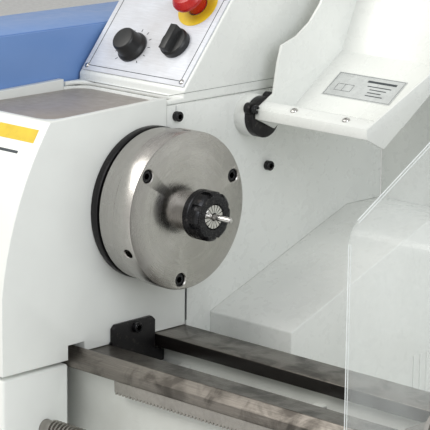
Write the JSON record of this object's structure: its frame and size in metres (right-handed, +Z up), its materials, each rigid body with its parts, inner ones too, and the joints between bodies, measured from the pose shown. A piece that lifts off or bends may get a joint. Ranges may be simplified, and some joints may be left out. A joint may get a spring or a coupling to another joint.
{
  "type": "bench engine lathe",
  "caption": "Bench engine lathe with collet chuck, raised chuck guard, carriage with chip shield, tailstock, leadscrew, chip tray and end cover.",
  "frame": {"origin": "on the underside of the chip tray, straight below the spindle axis at the collet chuck's front face", "axes": "+X along the spindle towards the tailstock, +Y to the back, +Z up"},
  "size_m": [1.2986, 0.621, 0.6593],
  "materials": {
    "white_paint": "off-white enamel, semi-gloss",
    "blue_paint": "blue enamel, matt",
    "ground_iron": "ground and oiled",
    "turned_steel": "turned",
    "black_oxide": "black oxide",
    "brown_mat": "satin",
    "panel_sheet": "printed, satin",
    "black_plastic": "moulded",
    "red_plastic": "moulded",
    "black_rubber": "matt",
    "clear_polycarbonate": "clear sheet"
  },
  "bodies": {
    "machine": {"chip_tray": "white_paint", "bed": "white_paint", "headstock": "white_paint", "feed_gearbox": "white_paint", "tool_tray_mat": "brown_mat", "electrical_cabinet": "white_paint", "control_box": "white_paint", "control_panel": "panel_sheet", "end_plate": "blue_paint", "motor_housing": "white_paint", "motor": "black_oxide", "drive_belt": "black_rubber", "rear_splash_guard": "white_paint", "cable_gland": "black_plastic", "front_bearing": "turned_steel", "rear_bearing": "turned_steel", "front_bearing_cover": "black_oxide", "bed_end_bracket": "black_oxide", "leadscrew_bracket": "white_paint", "feed_rack": "turned_steel"},
    "spindle_group": {"spindle": "turned_steel", "spindle_pulley": "turned_steel", "chuck_backplate": "turned_steel", "chuck_body": "turned_steel", "chuck_screw_1": "black_oxide", "chuck_screw_2": "black_oxide", "chuck_screw_3": "black_oxide", "collet": "turned_steel", "gauge_rod": "turned_steel"},
    "nut": {"collet_nut": "black_oxide"},
    "motor_rotor": {"motor_pulley": "turned_steel"},
    "idler": {"idler_gear": "turned_steel"},
    "feed_screw": {"leadscrew": "turned_steel", "leadscrew_gear": "turned_steel"},
    "guard": {"chuck_guard": "white_paint", "guard_flange": "black_oxide"},
    "side_cover": {"end_cover": "blue_paint"},
    "knob": {"speed_knob": "black_plastic"},
    "switch": {"direction_switch": "black_plastic"},
    "stop_button": {"emergency_stop": "red_plastic"},
    "carriage": {"saddle": "ground_iron", "apron": "white_paint", "chip_shield": "clear_polycarbonate"},
    "carriage_wheel": {"carriage_handwheel": "turned_steel"},
    "nut_lever": {"half_nut_lever": "black_plastic"},
    "cross": {"cross_slide": "ground_iron"},
    "cross_wheel": {"cross_handwheel": "turned_steel"},
    "swivel": {"topslide_base": "ground_iron"},
    "top": {"topslide": "ground_iron"},
    "top_wheel": {"topslide_handle": "turned_steel"},
    "post": {"tool_post": "black_oxide", "cutting_tool": "turned_steel"},
    "post_lever": {"tool_post_lever": "turned_steel"},
    "tailstock": {"tailstock_body": "white_paint", "tailstock_clamp": "ground_iron"},
    "quill": {"tailstock_quill": "turned_steel", "tailstock_centre": "turned_steel"},
    "tail_wheel": {"tailstock_handwheel": "turned_steel"},
    "quill_lever": {"quill_lock_lever": "turned_steel"},
    "clamp": {"clamp_lever": "turned_steel"}
  },
  "joints": [
    {"name": "spindle_turn", "type": "hinge", "parent": "machine", "child": "spindle_group", "pos_m": [0, 0, 0.33], "axis": [1, 0, 0], "continuous": true},
    {"name": "motor_turn", "type": "hinge", "parent": "machine", "child": "motor_rotor", "pos_m": [-0.2446, 0.21, 0.15], "axis": [1, 0, 0], "continuous": true},
    {"name": "idler_turn", "type": "hinge", "parent": "machine", "child": "idler", "pos_m": [-0.2621, -0.08517, 0.24547], "axis": [1, 0, 0], "continuous": true},
    {"name": "leadscrew_turn", "type": "hinge", "parent": "machine", "child": "feed_screw", "pos_m": [-0.2621, -0.135, 0.12], "axis": [1, 0, 0], "continuous": true},
    {"name": "collet_nut_turn", "type": "hinge", "parent": "spindle_group", "child": "nut", "pos_m": [0.0265, 0, 0.33], "axis": [1, 0, 0], "range_deg": [0, 360]},
    {"name": "guard_swing", "type": "hinge", "parent": "machine", "child": "guard", "pos_m": [-0.033, 0.148, 0.401], "axis": [1, 0, 0], "range_deg": [0, 117]},
    {"name": "cover_swing", "type": "hinge", "parent": "machine", "child": "side_cover", "pos_m": [-0.2304, 0.2965, 0.28], "axis": [0, 0, -1], "range_deg": [0, 100]},
    {"name": "knob_turn", "type": "hinge", "parent": "machine", "child": "knob", "pos_m": [-0.1581, 0.07628, 0.46685], "axis": [0, -0.7771, 0.6293], "range_deg": [0, 270]},
    {"name": "switch_turn", "type": "hinge", "parent": "machine", "child": "switch", "pos_m": [-0.1011, 0.08383, 0.47618], "axis": [0, -0.7771, 0.6293], "range_deg": [-45, 45]},
    {"name": "stop_push", "type": "slide", "parent": "machine", "child": "stop_button", "axis": [0, 0.7771, -0.6293], "range_m": [0, 0.006]},
    {"name": "carriage_travel", "type": "slide", "parent": "machine", "child": "carriage", "axis": [-1, 0, 0], "range_m": [-0.1, 0.2]},
    {"name": "carriage_wheel_turn", "type": "hinge", "parent": "carriage", "child": "carriage_wheel", "pos_m": [0.43, -0.173, 0.1531], "axis": [0, 1, 0], "range_deg": [-715, 1430]},
    {"name": "half_nut_turn", "type": "hinge", "parent": "carriage", "child": "nut_lever", "pos_m": [0.51, -0.1683, 0.094], "axis": [0, 1, 0], "range_deg": [0, 40]},
    {"name": "cross_travel", "type": "slide", "parent": "carriage", "child": "cross", "axis": [0, 1, 0], "range_m": [0, 0.08]},
    {"name": "cross_wheel_turn", "type": "hinge", "parent": "carriage", "child": "cross_wheel", "pos_m": [0.47, -0.158, 0.242], "axis": [0, 1, 0], "range_deg": [0, 7201]},
    {"name": "swivel_turn", "type": "hinge", "parent": "cross", "child": "swivel", "pos_m": [0.47, -0.045, 0.265], "axis": [0, 0, 1], "range_deg": [-30, 60]},
    {"name": "topslide_travel", "type": "slide", "parent": "swivel", "child": "top", "axis": [-1, 0, 0], "range_m": [-0.03, 0.03]},
    {"name": "topslide_wheel_turn", "type": "hinge", "parent": "top", "child": "top_wheel", "pos_m": [0.5325, -0.045, 0.28195], "axis": [-1, 0, 0], "range_deg": [-5401, 5401]},
    {"name": "tool_post_turn", "type": "hinge", "parent": "top", "child": "post", "pos_m": [0.462, -0.045, 0.3], "axis": [0, 0, 1], "continuous": true},
    {"name": "post_lever_turn", "type": "hinge", "parent": "post", "child": "post_lever", "pos_m": [0.462, -0.045, 0.355], "axis": [0, 0, 1], "range_deg": [0, 120]},
    {"name": "tailstock_travel", "type": "slide", "parent": "machine", "child": "tailstock", "axis": [-1, 0, 0], "range_m": [0, 0.13]},
    {"name": "quill_travel", "type": "slide", "parent": "tailstock", "child": "quill", "axis": [-1, 0, 0], "range_m": [0, 0.08]},
    {"name": "tail_wheel_turn", "type": "hinge", "parent": "tailstock", "child": "tail_wheel", "pos_m": [0.8945, 0, 0.33], "axis": [-1, 0, 0], "range_deg": [0, 5755]},
    {"name": "quill_lock_turn", "type": "hinge", "parent": "tailstock", "child": "quill_lever", "pos_m": [0.77, 0, 0.37], "axis": [0, 0, 1], "range_deg": [0, 90]},
    {"name": "clamp_lever_turn", "type": "hinge", "parent": "tailstock", "child": "clamp", "pos_m": [0.86, 0.0563, 0.208], "axis": [0, 1, 0], "range_deg": [-60, 0]}
  ],
  "couplings": [
    {"joint": "motor_turn", "follows": "spindle_turn", "ratio": 2},
    {"joint": "idler_turn", "follows": "spindle_turn", "ratio": -0.33333},
    {"joint": "leadscrew_turn", "follows": "spindle_turn", "ratio": 0.66667},
    {"joint": "carriage_travel", "follows": "carriage_wheel_turn", "m_per_rad": 0.008},
    {"joint": "cross_wheel_turn", "follows": "cross_travel", "rad_per_m": 1570.8},
    {"joint": "topslide_wheel_turn", "follows": "topslide_travel", "rad_per_m": 3141.6},
    {"joint": "quill_travel", "follows": "tail_wheel_turn", "m_per_rad": 0.00079577}
  ]
}
